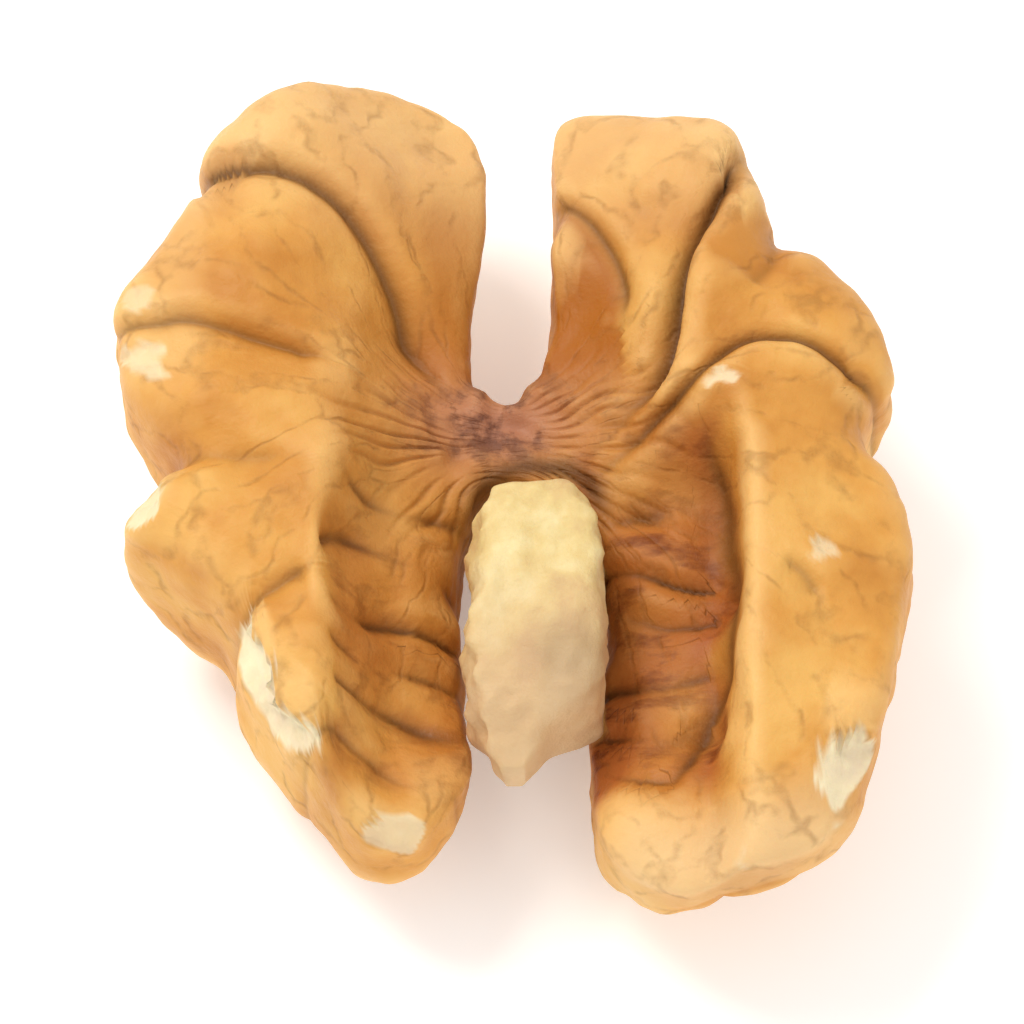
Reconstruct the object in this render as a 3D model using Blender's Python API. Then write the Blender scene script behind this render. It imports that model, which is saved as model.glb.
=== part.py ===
"""Half of an English walnut kernel, split along its plane and lying on its rounded back.

The kernel grew as one piece: two wavy lobes joined by a short bridge in the middle, with the
broken stub of the other half standing between them. Lengths are in millimetres until the
mesh is written. X runs across the two lobes, Y along them, and Z is up, out of the split face.
"""
import bpy
import bmesh
import numpy as np

MM = 0.001

# Driving dimensions, mm
FACE_HEIGHT = 8.0            # split face beside the stub, above the lowest point of the back
RIM_RISE = 4.0               # how far the rim of a lobe stands above that
BACK_DEPTH = 8.0             # depth of the round back
BACK_RADII = (15.2, 18.2)    # half width and half length of the round back
BACK_CENTRE_Y = -2.8
GROOVE_DEPTH = 4.0           # groove along the middle of the back
GROOVE_WIDTH = 2.4
BRIDGE_ENDS = (1.6, -1.8)    # upper and lower end of the bridge, along Y
FLAT_DEPTH = 0.8             # how much the lowest folds are worn flat where the half rests

# Outline of each lobe, from the mouth of the upper slot round to the lower tip
RIMS = {
    -1: [(0.0, 12.2), (-1.6, 13.7), (-4.6, 13.9), (-7.8, 13.0), (-10.4, 11.0), (-11.4, 8.4),
         (-12.8, 6.0), (-13.9, 3.4), (-13.5, 0.8), (-11.7, -1.9), (-12.6, -3.4), (-13.4, -4.9),
         (-11.7, -6.5), (-9.6, -7.7), (-9.1, -10.0), (-7.5, -12.4), (-6.2, -14.8), (-5.0, -16.5),
         (-2.9, -17.0), (-0.8, -16.2)],
    1: [(1.6, 12.2), (2.3, 13.9), (5.6, 12.8), (8.3, 11.7), (9.4, 9.6), (9.9, 7.2), (11.4, 6.0),
        (13.1, 4.0), (14.1, 1.2), (12.9, -1.1), (14.0, -3.5), (14.6, -6.2), (14.0, -9.8),
        (13.2, -13.0), (12.0, -16.7), (9.0, -18.3), (5.2, -18.5), (2.7, -17.0)],
}
START_PULL = {-1: (7.5, 13.0, 7.5), 1: (7.0, 13.0, 18.0)}   # at the upper end, middle, lower end
RIM_PULL = 0.95
PLAN_CORNER = 10.0           # a higher power makes squarer corners in plan
EDGE_CORNER = 5.0            # and squarer edges between face, rim and back

TROUGH_INNER = {-1: 1.6, 1: 3.0}      # where the trough beside the stub starts
TROUGH_OUTER = {-1: 6.6, 1: 8.8}      # and where it has risen to the rim
TROUGH_FOOT = {-1: 0.42, 1: 0.74}     # share of the way across where its far wall starts

# Folds of the split face: side, depth and the line that each follows
FOLDS = [
    (-1, 0.9, [(-13.0, 8.2), (-11.2, 8.9), (-9.1, 9.2), (-6.3, 8.2), (-4.4, 5.8), (-3.0, 3.0)]),
    (-1, 0.7, [(-15.2, 2.8), (-11.4, 3.0), (-8.6, 2.0), (-6.6, 1.3), (-4.4, 0.5)]),
    (-1, 0.5, [(-13.5, -1.6), (-11.8, -2.2), (-9.8, -2.6), (-7.4, -3.0)]),
    (-1, 0.6, [(-10.8, -9.6), (-9.4, -8.7), (-7.9, -7.8)]),
    (1, 1.1, [(9.0, 10.3), (8.5, 9.3), (6.5, 6.3), (5.1, 2.5), (3.6, -0.2)]),
    (1, 0.8, [(5.1, -0.8), (6.9, 0.5), (8.8, 2.0), (11.0, 1.8), (13.0, 0.4), (14.6, -0.4)]),
    (1, 0.4, [(1.4, 9.6), (3.0, 8.2), (3.9, 6.1), (4.1, 3.8)]),
]
FOLD_WIDTH = 1.2
PILLOW_WIDTH = 1.8           # the face rounds over this far beside a fold
PILLOW_SHARE = 0.55
BACK_FOLD_LENGTH = 8.5       # from fold to fold on the back
BACK_FOLD_DEPTH = 1.2
BACK_FOLD_WIDTH = 1.2
WAVE_COUNT = 28
WAVE_SEED = 5

# Sections of the stub: place along Y, middle in X, half width, underside and top
STUB = [(0.8, 1.1, 0.6, 5.8, 7.0), (-1.4, 1.2, 1.2, 5.4, 7.6), (-2.8, 1.2, 1.6, 5.4, 9.9),
        (-4.6, 1.2, 2.3, 5.5, 11.2), (-8.6, 1.2, 2.4, 5.9, 11.3), (-12.2, 1.1, 2.2, 6.5, 10.9),
        (-13.2, 0.8, 1.0, 7.2, 10.2), (-14.0, 0.6, 0.5, 7.6, 9.4)]
STUB_CORNER = 5.0

# Mesh density
RINGS = 18
ALONG_RIM = 34
ROUND_EDGE = 8
STUB_SIDES = 16


def smooth(low, high, value):
    """A soft step: 0 below low, 1 above high."""
    t = np.clip((value - low) / (high - low), 0.0, 1.0)
    return t * t * (3.0 - 2.0 * t)


def curve_through(points, steps):
    """A Catmull-Rom curve through the points, with that many steps between two of them."""
    points = np.array(points, float)
    ends = np.vstack([2 * points[0] - points[1], points, 2 * points[-1] - points[-2]])
    place = np.linspace(0, len(points) - 1, steps * (len(points) - 1) + 1)
    i = np.minimum(place.astype(int), len(points) - 2)
    f = (place - i)[:, None]
    a, b, c, d = ends[i], ends[i + 1], ends[i + 2], ends[i + 3]
    return 0.5 * (2 * b + (c - a) * f + (2 * a - 5 * b + 4 * c - d) * f ** 2
                  + (3 * b - a - 3 * c + d) * f ** 3)


def rim_point(side, along):
    """The point of a lobe's outline at along, from -1 at the upper slot to 1 at the lower tip."""
    curve = curve_through(RIMS[side], 40)
    run = np.append(0.0, np.cumsum(np.linalg.norm(np.diff(curve, axis=0), axis=1)))
    reach = (along + 1) / 2 * run[-1]
    return np.stack([np.interp(reach, run, curve[:, k]) for k in (0, 1)], axis=-1)


def plan_point(side, out, along):
    """Where a point lies in plan: a line fans from the bridge (out 0) to the rim (out 1)."""
    rim = rim_point(side, along)
    upper, lower = BRIDGE_ENDS
    bridge = np.stack([0 * along, upper + (lower - upper) * (along + 1) / 2], axis=-1)
    at_upper, at_middle, at_lower = START_PULL[side]
    at_end = np.where(along < 0, at_upper, at_lower)
    pull = side * (at_middle + (at_end - at_middle) * along ** 2)
    leave = np.stack([pull, 0 * along], axis=-1)
    arrive = RIM_PULL * (rim - np.array([side * 1.9, -0.5]))
    t = out[..., None]
    return (bridge * (1 + 2 * t) * (1 - t) ** 2 + rim * t * t * (3 - 2 * t)
            + leave * t * (1 - t) ** 2 - arrive * t * t * (1 - t))


def face_height(side, x, y):
    """The split face: troughs beside the stub, rising to the rim and along the upper slot."""
    across = np.abs(x)
    t = (across - TROUGH_INNER[side]) / (TROUGH_OUTER[side] - TROUGH_INNER[side])
    trough = 0.22 * np.clip(t, 0, 1) + 0.78 * smooth(TROUGH_FOOT[side], 1.02, t)
    trough = trough + (1 - trough) * 0.55 * smooth(-12.0, -16.5, y)
    slot_side = 0.28 + 0.72 * smooth(0.5, 8.5, across)
    bridge_side = smooth(1.5, 7.5, across)
    upper = slot_side * smooth(-1, 8, y) + bridge_side * (1 - smooth(-1, 8, y))
    share = smooth(-4, 1, y)
    tip_fall = 1.2 * smooth(-12.0, -19.0, y) + 0.5 * smooth(8, 13, y)
    return FACE_HEIGHT + RIM_RISE * (trough * (1 - share) + upper * share) - tip_fall


def back_height(x, y):
    """The back: the lower half of an ellipsoid with a groove along its middle."""
    far = (x / BACK_RADII[0]) ** 2 + ((y - BACK_CENTRE_Y) / BACK_RADII[1]) ** 2
    dome = BACK_DEPTH * (1 - np.sqrt(np.clip(1 - far, 0.02, 1)))
    return dome + GROOVE_DEPTH * np.exp(-(x / GROOVE_WIDTH) ** 2)


def lobe_point(side, out, along, level):
    """A point of a lobe, from its place on a box that is rounded into the lobe's shape."""
    in_plan = (np.abs(out) ** PLAN_CORNER + np.abs(along) ** PLAN_CORNER) ** (1 / PLAN_CORNER)
    reach = (in_plan ** EDGE_CORNER + np.abs(level) ** EDGE_CORNER) ** (1 / EDGE_CORNER)
    place = plan_point(side, out / reach, along / reach)
    x, y = place[..., 0], place[..., 1]
    top, bottom = face_height(side, x, y), back_height(x, y)
    z = (top + bottom) / 2 + level / reach * (top - bottom) / 2
    return np.stack([x, y, z], axis=-1)


def grid_faces(rows, columns, closed, turned):
    """Quads between neighbouring rows of a grid of points."""
    i, j = np.meshgrid(np.arange(rows - 1), np.arange(columns if closed else columns - 1),
                       indexing="ij")
    k = (j + 1) % columns
    quads = np.stack([i * columns + j, i * columns + k, (i + 1) * columns + k,
                      (i + 1) * columns + j], axis=-1).reshape(-1, 4)
    return quads[:, ::-1] if turned else quads


def lobe(side):
    """Two grids for one lobe: a tube from the bridge outwards, and the cap along its rim."""
    run, turn = np.linspace(-1, 1, ALONG_RIM + 1), np.linspace(1, -1, ROUND_EDGE + 1)
    one_run, one_turn = np.ones(ALONG_RIM), np.ones(ROUND_EDGE)
    along = np.concatenate([run[:-1], one_turn, -run[:-1], -one_turn])
    level = np.concatenate([one_run, turn[:-1], -one_run, -turn[:-1]])
    out, along_grid = np.meshgrid(np.linspace(0, 1, RINGS + 1), along, indexing="ij")
    tube = lobe_point(side, out, along_grid, np.broadcast_to(level, out.shape))
    cap_along, cap_level = np.meshgrid(run, turn, indexing="ij")
    cap = lobe_point(side, np.ones(cap_along.shape), cap_along, cap_level)
    return [(tube, grid_faces(RINGS + 1, len(along), True, side < 0)),
            (cap, grid_faces(ALONG_RIM + 1, ROUND_EDGE + 1, False, side > 0))]


def join_grids(grids, tolerance=1e-4):
    """One list of points and quads, with the points that the grids share made one."""
    points = np.vstack([grid.reshape(-1, 3) for grid, _ in grids])
    counts = np.cumsum([0] + [grid.size // 3 for grid, _ in grids])
    quads = np.vstack([faces + start for (_, faces), start in zip(grids, counts)])
    cells = np.round(points / tolerance).astype(np.int64)
    _, first, index = np.unique(cells, axis=0, return_index=True, return_inverse=True)
    return points[first], index.reshape(-1)[quads]


def point_normals(points, quads):
    """Outward direction at each point, from the quads round it."""
    corners = points[quads]
    cross = np.cross(corners[:, 2] - corners[:, 0], corners[:, 3] - corners[:, 1])
    normals = np.zeros_like(points)
    for corner in range(4):
        np.add.at(normals, quads[:, corner], cross)
    return normals / np.linalg.norm(normals, axis=1, keepdims=True)


def distance_to_line(x, y, points):
    """Distance in plan from each (x, y) to a smooth line through the points."""
    curve = curve_through(points, 6)
    nearest = np.full(x.shape, np.inf)
    for start, end in zip(curve[:-1], curve[1:]):
        step = end - start
        t = np.clip(((x - start[0]) * step[0] + (y - start[1]) * step[1]) / step.dot(step), 0, 1)
        nearest = np.minimum(nearest, np.hypot(x - start[0] - t * step[0],
                                               y - start[1] - t * step[1]))
    return nearest


def wandering_field(points, length):
    """A sum of waves of one length in many directions, with its slope at each point."""
    rng = np.random.default_rng(WAVE_SEED)
    waves = rng.normal(size=(WAVE_COUNT, 3))
    waves /= np.linalg.norm(waves, axis=1, keepdims=True)
    waves *= rng.uniform(0.85, 1.15, size=(WAVE_COUNT, 1)) * 2 * np.pi / length
    phase = points @ waves.T + rng.uniform(0, 2 * np.pi, WAVE_COUNT)
    scale = np.sqrt(2 / WAVE_COUNT)
    return scale * np.cos(phase).sum(axis=1), -scale * np.sin(phase) @ waves


def fold_depths(points, normals):
    """How far each point moves in along its normal, for the folds of the face and the back."""
    x, y = points[:, 0], points[:, 1]
    upward = smooth(-0.35, 0.35, normals[:, 2])
    depth = np.zeros(len(points))
    for side, deep, line in FOLDS:
        away = distance_to_line(x, y, line)
        shape = np.exp(-(away / FOLD_WIDTH) ** 2) + PILLOW_SHARE * np.exp(
            -(away / PILLOW_WIDTH) ** 2)
        depth += deep * shape * smooth(-0.2, 0.2, side * x) * (0.35 + 0.65 * upward)
    height, slope = wandering_field(points, BACK_FOLD_LENGTH)
    along_surface = slope - (slope * normals).sum(axis=1, keepdims=True) * normals
    away = np.abs(height) / np.maximum(np.linalg.norm(along_surface, axis=1), 0.25)
    backward = 1 - smooth(-0.85, -0.1, normals[:, 2])
    return depth + backward * (BACK_FOLD_DEPTH * np.exp(-(away / BACK_FOLD_WIDTH) ** 2) - 0.25)


def stub_points():
    """Rounded-square sections of the broken stub, closed to a point at each end."""
    y, middle, half, low, high = curve_through(STUB, 3).T
    ends = np.array([0.0] + [1.0] * len(y) + [0.0])
    y, middle, half, low, high = (np.concatenate([v[:1], v, v[-1:]])
                                  for v in (y, middle, half, low, high))
    angle = np.linspace(0, 2 * np.pi, STUB_SIDES, endpoint=False)
    c, s = np.cos(angle), np.sin(angle)
    size = (np.abs(c) ** STUB_CORNER + np.abs(s) ** STUB_CORNER) ** (-1 / STUB_CORNER)
    x = middle[:, None] + np.outer(half * ends, c * size)
    z = ((low + high) / 2)[:, None] + np.outer((high - low) / 2 * ends, s * size)
    return np.stack([x, np.broadcast_to(y[:, None], x.shape), z], axis=-1)


def new_object(name, points, faces):
    """A mesh object from points in millimetres."""
    mesh = bpy.data.meshes.new(name)
    mesh.from_pydata((points * MM).tolist(), [], faces.tolist())
    obj = bpy.data.objects.new(name, mesh)
    bpy.context.scene.collection.objects.link(obj)
    return obj


def close_ends(obj):
    """Merge the points of the closed ends and turn every face outwards."""
    work = bmesh.new()
    work.from_mesh(obj.data)
    bmesh.ops.remove_doubles(work, verts=work.verts, dist=1e-6)
    bmesh.ops.recalc_face_normals(work, faces=work.faces)
    work.to_mesh(obj.data)
    work.free()


def kernel_material():
    """The thin golden skin of the kernel."""
    material = bpy.data.materials.new("kernel_skin")
    material.use_nodes = True
    shader = material.node_tree.nodes["Principled BSDF"]
    shader.inputs["Base Color"].default_value = (0.72, 0.39, 0.11, 1.0)
    shader.inputs["Roughness"].default_value = 0.5
    shader.inputs["Metallic"].default_value = 0.0
    return material


def build_walnut_half():
    """The two lobes and their bridge as one folded body, with the stub united to it."""
    points, quads = join_grids(lobe(-1) + lobe(1))
    normals = point_normals(points, quads)
    points = points - normals * fold_depths(points, normals)[:, None]
    low, high = points.min(axis=0), points.max(axis=0)
    shift = np.array([(low[0] + high[0]) / 2, (low[1] + high[1]) / 2, low[2] + FLAT_DEPTH])
    points = points - shift
    points[:, 2] = np.maximum(points[:, 2], 0.0)

    half = new_object("walnut_half", points, quads)
    half.data.materials.append(kernel_material())
    sections = stub_points() - shift
    stub = new_object("stub", sections.reshape(-1, 3),
                      grid_faces(len(sections), STUB_SIDES, True, False))
    close_ends(stub)
    stub.hide_render = True
    stub.display_type = "WIRE"
    union = half.modifiers.new("stub", "BOOLEAN")
    union.operation = "UNION"
    union.solver = "EXACT"
    union.object = stub
    return half


def main():
    for obj in list(bpy.data.objects):
        bpy.data.objects.remove(obj, do_unlink=True)
    build_walnut_half()


main()
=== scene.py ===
# Half of an English walnut kernel on a pale table: two folded lobes, a short bridge and a broken stub.
import math
import bpy
import bmesh
import numpy as np
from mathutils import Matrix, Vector


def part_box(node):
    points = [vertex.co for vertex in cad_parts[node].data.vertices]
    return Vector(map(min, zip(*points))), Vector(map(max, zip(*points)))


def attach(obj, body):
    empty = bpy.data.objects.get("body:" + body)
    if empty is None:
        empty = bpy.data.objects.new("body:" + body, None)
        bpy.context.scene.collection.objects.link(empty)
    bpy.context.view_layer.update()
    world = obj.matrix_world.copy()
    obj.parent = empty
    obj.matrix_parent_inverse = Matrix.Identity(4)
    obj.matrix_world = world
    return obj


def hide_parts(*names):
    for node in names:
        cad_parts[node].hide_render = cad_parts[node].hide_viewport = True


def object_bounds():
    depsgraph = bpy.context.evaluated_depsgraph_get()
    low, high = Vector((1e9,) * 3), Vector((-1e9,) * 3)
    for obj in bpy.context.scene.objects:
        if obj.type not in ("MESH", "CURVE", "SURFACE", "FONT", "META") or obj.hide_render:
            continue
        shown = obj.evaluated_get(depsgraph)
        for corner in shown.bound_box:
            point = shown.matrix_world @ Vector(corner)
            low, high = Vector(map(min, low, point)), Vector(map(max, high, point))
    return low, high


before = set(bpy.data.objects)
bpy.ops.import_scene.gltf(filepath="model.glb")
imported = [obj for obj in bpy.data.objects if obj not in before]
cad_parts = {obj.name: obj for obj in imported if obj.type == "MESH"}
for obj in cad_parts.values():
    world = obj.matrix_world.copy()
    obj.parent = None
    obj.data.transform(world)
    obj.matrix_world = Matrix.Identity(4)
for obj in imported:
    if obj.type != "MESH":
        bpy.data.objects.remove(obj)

cadLow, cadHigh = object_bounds()
mm = 0.001

# Everything about the shape of the lobes, in mm. Left is -1 and right is 1.
kernel = {
    "rim": {
        -1: [(0.0, 12.2), (-1.6, 13.7), (-4.6, 13.9), (-7.8, 13.0), (-10.4, 11.0), (-11.4, 8.4),
             (-12.8, 6.0), (-13.9, 3.4), (-13.5, 0.8), (-11.7, -1.9), (-12.6, -3.4), (-13.4, -4.9),
             (-11.7, -6.5), (-9.9, -7.9), (-9.5, -10.1), (-8.0, -12.6), (-6.4, -14.9), (-5.0, -16.5),
             (-2.9, -17.0), (-0.8, -16.2)],
        1: [(1.6, 12.2), (2.3, 13.9), (5.6, 12.8), (8.3, 11.7), (9.4, 9.6), (9.9, 7.2), (11.4, 6.0),
            (13.1, 4.0), (14.1, 1.2), (12.9, -1.1), (14.0, -3.5), (14.6, -6.2), (14.0, -9.8),
            (13.2, -13.0), (12.0, -16.7), (9.0, -18.3), (5.2, -18.5), (2.7, -17.0)],
    },
    "bridgeEnds": (1.6, -1.8),
    "startPull": {-1: (7.5, 13.0, 7.5), 1: (7.0, 13.0, 18.0)},    # at the bridge's top, middle and foot
    "rimPull": 0.95,
    "fanCentre": (1.9, -0.5),              # lines arrive at the rim pointing away from here
    "planCorner": 10.0,
    "edgeCorner": 5.0,
    "faceHeight": 8.0,
    "rimRise": 4.0,
    "troughInner": {-1: 1.6, 1: 3.0},
    "troughOuter": {-1: 6.6, 1: 8.8},
    "troughFoot": {-1: 0.42, 1: 0.74},     # where the step up to the face begins, from 0 to 1
    "troughTop": {-1: (-6.5, 1), 1: (-4, 1)},    # the troughs run out between these two Y
    "troughFloorRise": 0.22,               # share of the step that the trough's floor climbs
    "troughEndRise": 0.55,                 # share of the step that its lower end climbs
    "slotSideHeight": 0.28,                # share of the rim's rise that is left beside the slot
    "lowTipFall": 1.2,
    "highTipFall": 0.5,
    "rustEdge": {-1: 6.2, 1: 7.9},
    "backDepth": 8.0,
    "backRadii": (15.2, 18.2),
    "backCentreY": -2.8,
    "grooveDepth": 4.0,
    "grooveWidth": 2.4,
    "flatDepth": 0.8,
    # Painted shadow: a dark band round the upper end of the stub, where it stands over the trough
    "stubShadowLine": [(-1.35, -4.4), (-1.1, -3.0), (-0.6, -2.0), (0.2, -1.4), (1.2, -1.2), (2.2, -1.4), (3.0, -2.0),
             (3.5, -3.0), (3.75, -4.4)],      # the dark line round the upper end of the stub
    "stubShadowWidth": 0.42,
    "rings": 62,
    "alongRim": 240,
    "roundEdge": 36,
}

# Folds of the split face: side, depth, width, how far one bank stands over the other, and how wide
# and dark the skin's own line at the bottom is; the line's ink also sets the painted shade beside the fold
slotFold = {"side": 1, "deep": 0.3, "wide": 0.34, "step": 0.2, "thin": 0.15, "ink": 0.6,
            "line": [(1.4, 9.6), (2.3, 9.0), (3.0, 8.2), (3.5, 7.2), (3.9, 6.1), (4.1, 5.0), (4.1, 3.8)]}
faceFolds = [
    {"side": -1, "deep": 0.65, "wide": 0.40, "step": 0.30, "thin": 0.18, "ink": 0.8,
     "line": [(-12.0, 8.9), (-11.2, 9.3), (-8.9, 9.6), (-7.3, 9.2), (-6.0, 8.5), (-5.0, 7.5), (-4.1, 6.1),
              (-3.4, 4.8), (-2.8, 3.2), (-2.0, 1.5)]},
    {"side": -1, "deep": 0.42, "wide": 0.32, "step": 0.2, "thin": 0.13, "ink": 0.5,
     "line": [(-15.2, 2.8), (-12.7, 2.9), (-11.4, 3.0), (-10.0, 2.5), (-8.6, 1.95), (-7.2, 1.5),
              (-6.2, 1.2)]},
    {"side": -1, "deep": 0.35, "wide": 0.6, "step": 0.1, "thin": 0.2, "ink": 0.15,
     "line": [(-13.5, -1.6), (-11.8, -2.2), (-9.8, -2.6), (-7.4, -3.0)]},
    {"side": -1, "deep": 0.4, "wide": 0.45, "step": 0.15, "thin": 0.15, "ink": 0.35,
     "line": [(-10.8, -9.6), (-9.4, -8.7), (-7.9, -7.8), (-6.8, -7.3)]},
    {"side": -1, "deep": 0.25, "wide": 0.4, "step": 0.1, "thin": 0.14, "ink": 0.4,
     "line": [(-7.4, -14.2), (-5.8, -13.2), (-4.6, -13.6), (-3.4, -14.4)]},
    {"side": 1, "deep": 1.0, "wide": 0.46, "step": 0.35, "thin": 0.30, "ink": 1.0,
     "line": [(9.0, 10.3), (8.5, 9.3), (7.6, 8.0), (6.6, 6.3), (6.1, 4.5), (5.6, 2.6), (5.1, 1.2),
              (4.1, -0.1)]},
    {"side": 1, "deep": 0.6, "wide": 0.34, "step": -0.3, "thin": 0.18, "ink": 0.8,
     "line": [(3.7, -1.7), (5.1, -0.8), (6.0, -0.3), (6.9, 0.5), (7.9, 1.5), (8.8, 2.0), (9.8, 2.1),
              (11.0, 1.8), (12.1, 1.1), (13.0, 0.4), (14.6, -0.4)]},
    slotFold,
    {"side": 1, "deep": 0.3, "wide": 0.36, "step": 0.1, "thin": 0.2, "ink": 0.75,
     "line": [(7.3, -1.4), (7.7, -3.4), (7.8, -5.6), (8.0, -8.0), (7.9, -10.4), (7.1, -12.0), (6.6, -13.4),
              (5.6, -14.8)]},
    {"side": 1, "deep": 0.25, "wide": 0.4, "step": 0.1, "thin": 0.15, "ink": 0.3,
     "line": [(10.0, -7.3), (10.6, -7.7), (11.2, -8.6)]},
    {"side": 1, "deep": 0.3, "wide": 0.45, "step": 0.1, "thin": 0.2, "ink": 0.2,
     "line": [(10.2, 7.4), (9.8, 5.6), (8.9, 4.2)]},
]

relief = {
    "pillowShare": 0.38,      # how much of a fold's depth goes into the rounding beside it
    "pillowWidth": 1.4,
    "bankWidth": 0.5,         # how quickly the higher bank rises, and how far it reaches
    "bankReach": 2.2,
    "backFoldLength": 8.5,    # from fold to fold on the back
    "backFoldDeep": 1.0,
    "backFoldWide": 0.42,
    "backFoldThin": 0.2,
    "backFoldInk": 0.8,
    "backPillow": 0.45,
    "backPillowWidth": 1.3,
    "backSwell": 0.25,
    "smallFoldLength": 3.8,
    "smallFoldDeep": 0.16,
    "smallFoldWide": 0.3,
    "wrinkleGap": 2.0,        # between the cross wrinkles in the troughs
    "wrinkleDeep": 0.26,
    "wrinkleWide": 0.26,
    "wrinkleThin": 0.15,
    "wrinkleInk": 0.75,
    "wrinkleTilt": 0.30,
    "pleats": 15,             # fine radial wrinkles of each lobe's skin by the bridge
    "pleatDeep": 0.13,
    "pleatSharp": 5,
    "bridgeLumps": 0.12,
    "tipShadeAt": (-6.4, -14.9),
    "faceSwells": [(0.13, 4.6, 11)],                     # height, length and seed of each wave field
    "swells": [(0.030, 1.9, 12), (0.010, 0.95, 13)],
    "breakRough": [(0.06, 0.8, 31), (0.10, 2.2, 32)],
    "breakThickest": 3.0,
}

# Where skin and flesh broke away: a place on the surface, the way the break faces, its reach and
# depth, and how bare the flesh is
chips = [
    {"at": (-9.0, -11.2, 8.7), "facing": (-0.78, -0.26, 0.57), "reach": 2.6, "deep": 1.1, "bare": 1.0},
    {"at": (-7.6, -13.5, 8.5), "facing": (-0.80, -0.30, 0.52), "reach": 2.4, "deep": 1.0, "bare": 1.0},
    {"at": (-12.8, -4.9, 10.3), "facing": (-0.70, 0.25, 0.67), "reach": 1.5, "deep": 0.45, "bare": 0.85},
    {"at": (12.3, -15.1, 10.2), "facing": (0.60, -0.30, 0.74), "reach": 1.7, "deep": 0.5, "bare": 1.0},
    {"at": (6.5, -17.8, 9.2), "facing": (0.0, -0.66, 0.75), "reach": 2.3, "deep": 0.3, "bare": 0.5},
    {"at": (-3.6, -16.8, 7.6), "facing": (0.1, -0.85, 0.52), "reach": 1.7, "deep": 0.35, "bare": 0.7},
    # The next three small, shallow chips lie on pale highlight spots of the lobes' tops: partly bare flesh,
    # partly a painted highlight
    {"at": (-12.8, 0.7, 10.8), "facing": (-0.5, 0.0, 0.87), "reach": 1.5, "deep": 0.24, "bare": 0.7},
    {"at": (-12.5, 4.0, 10.8), "facing": (-0.4, 0.0, 0.92), "reach": 1.0, "deep": 0.12, "bare": 0.5},
    {"at": (8.0, -0.4, 11.7), "facing": (-0.2, 0.2, 0.96), "reach": 0.9, "deep": 0.2, "bare": 0.75},
    {"at": (11.4, -7.2, 11.9), "facing": (0.1, 0.1, 1.0), "reach": 0.8, "deep": 0.12, "bare": 0.6},
    {"at": (-9.5, -4.0, 2.5), "facing": (-0.7, -0.1, -0.7), "reach": 1.8, "deep": 0.45, "bare": 1.0},
]

# The broken stub: sections along Y as (y, middle x, half width, underside, top)
stub = {
    "sections": [(0.9, 1.1, 0.6, 5.6, 6.2), (-1.4, 1.2, 1.0, 5.2, 6.5), (-2.7, 1.2, 1.1, 5.2, 9.0),
                 (-3.3, 1.2, 1.4, 5.4, 10.7), (-4.1, 1.2, 1.9, 5.4, 11.1), (-5.3, 1.2, 2.3, 5.5, 11.2),
                 (-8.6, 1.2, 2.4, 5.9, 11.3), (-11.3, 1.2, 2.35, 6.4, 11.1), (-12.1, 1.0, 2.0, 6.8, 10.7),
                 (-12.7, 0.6, 1.25, 7.1, 10.2), (-13.4, 0.45, 0.85, 7.4, 9.7), (-14.1, 0.4, 0.4, 7.8, 9.2)],
    "middleX": 1.2,
    "corner": 6.0,
    "sides": 96,
    "stepsBetween": 9,
    "raggedSides": [(0.10, 1.1, 41), (0.14, 3.1, 42)],   # the right side is half as ragged
    "roughTop": [(0.05, 0.9, 43), (0.12, 3.4, 44)],
}


def softStep(low, high, value):
    t = np.clip((value - low) / (high - low), 0.0, 1.0)
    return t * t * (3.0 - 2.0 * t)


def bell(away, width):
    return np.exp(-(away / width) ** 2)


# The cross-section of a crease: a bell with a pointed bottom
def crease(away, width):
    return np.exp(-np.abs(away / width) ** 1.5)


# Catmull-Rom curve: each stretch is the cubic that leaves and arrives along its neighbours' chord
def curveThrough(points, steps):
    points = np.array(points, float)
    ends = np.vstack([2 * points[0] - points[1], points, 2 * points[-1] - points[-2]])
    place = np.linspace(0, len(points) - 1, steps * (len(points) - 1) + 1)
    i = np.minimum(place.astype(int), len(points) - 2)
    f = (place - i)[:, None]
    a, b, c, d = ends[i], ends[i + 1], ends[i + 2], ends[i + 3]
    return 0.5 * (2 * b + (c - a) * f + (2 * a - 5 * b + 4 * c - d) * f ** 2
                  + (3 * b - a - 3 * c + d) * f ** 3)


# Hermite fan: a line leaves the bridge sideways and arrives at the rim pointing away from the middle
def planPoint(side, out, along):
    curve = curveThrough(kernel["rim"][side], 40)
    run = np.append(0.0, np.cumsum(np.linalg.norm(np.diff(curve, axis=0), axis=1)))
    reach = (along + 1) / 2 * run[-1]
    rim = np.stack([np.interp(reach, run, curve[:, k]) for k in (0, 1)], axis=-1)
    upper, lower = kernel["bridgeEnds"]
    bridge = np.stack([0 * along, upper + (lower - upper) * (along + 1) / 2], axis=-1)
    atUpper, atMiddle, atLower = kernel["startPull"][side]
    pull = side * (atMiddle + (np.where(along < 0, atUpper, atLower) - atMiddle) * along ** 2)
    leave = np.stack([pull, 0 * along], axis=-1)
    centreX, centreY = kernel["fanCentre"]
    arrive = kernel["rimPull"] * (rim - np.array([side * centreX, centreY]))
    t = out[..., None]
    return (bridge * (1 + 2 * t) * (1 - t) ** 2 + rim * t * t * (3 - 2 * t)
            + leave * t * (1 - t) ** 2 - arrive * t * t * (1 - t))


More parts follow.
